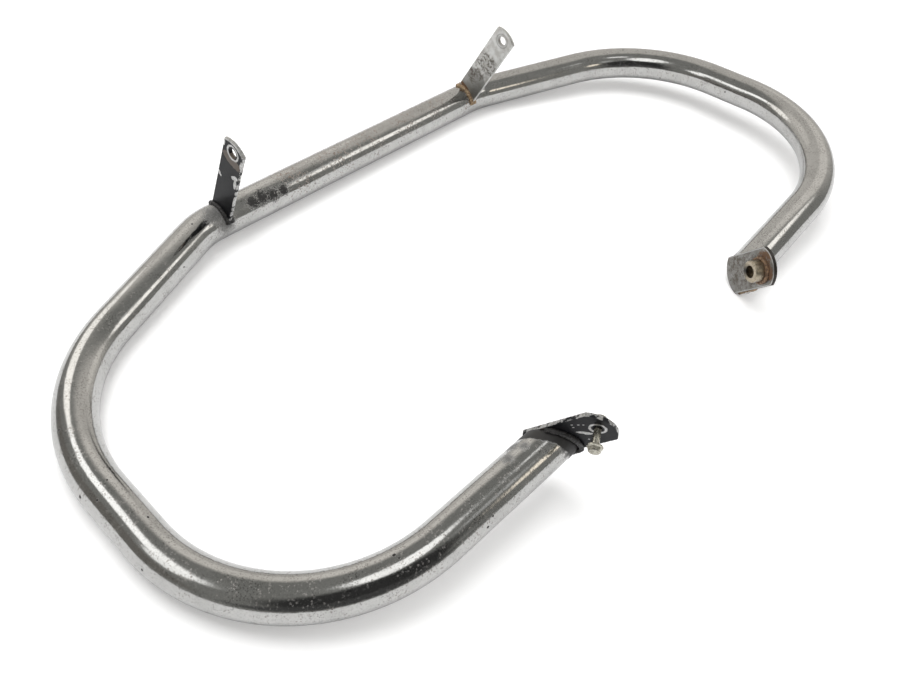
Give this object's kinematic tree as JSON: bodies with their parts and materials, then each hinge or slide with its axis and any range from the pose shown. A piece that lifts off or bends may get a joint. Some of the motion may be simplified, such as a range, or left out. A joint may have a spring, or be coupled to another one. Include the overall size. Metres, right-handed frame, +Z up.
{
  "type": "motorcycle engine guard",
  "caption": "Bent chrome tube engine guard with a loop each side, flat upper tabs on its crossbar and drilled lugs at its ends, lying on a surface.",
  "frame": {"origin": "middle of the bounding box, on the surface that the guard lies on", "axes": "+X towards the rider's left along the crossbar, +Y from the crossbar to the tube's ends (downwards when fitted), +Z up from the surface (towards the rear when fitted)"},
  "size_m": [0.7811, 0.4107, 0.1152],
  "materials": {
    "chrome": "polished chrome plate, scuffed, with fine pits and brown specks",
    "black_paint": "thin black paint, chipped to bare metal",
    "bare_steel": "dull grey plated steel with grime and rust",
    "sooty_weld": "weld bead sprayed black",
    "rusty_weld": "bare weld bead, brown with rust",
    "collar_metal": "brass-grey turned steel",
    "bolt_zinc": "worn zinc plate"
  },
  "bodies": {
    "root": {"guard_tube": "chrome", "upper_tab_left": "black_paint", "tab_weld_left_outer": "sooty_weld", "tab_weld_left_inner": "sooty_weld", "lug_left": "black_paint", "lug_weld_left": "sooty_weld", "upper_tab_right": "bare_steel", "tab_weld_right_outer": "rusty_weld", "tab_weld_right_inner": "rusty_weld", "lug_right": "bare_steel", "lug_weld_right": "rusty_weld", "collar_right": "collar_metal", "collar_weld_right": "rusty_weld", "lug_nut_left": "bolt_zinc", "lug_bolt_left": "bolt_zinc"}
  },
  "joints": []
}
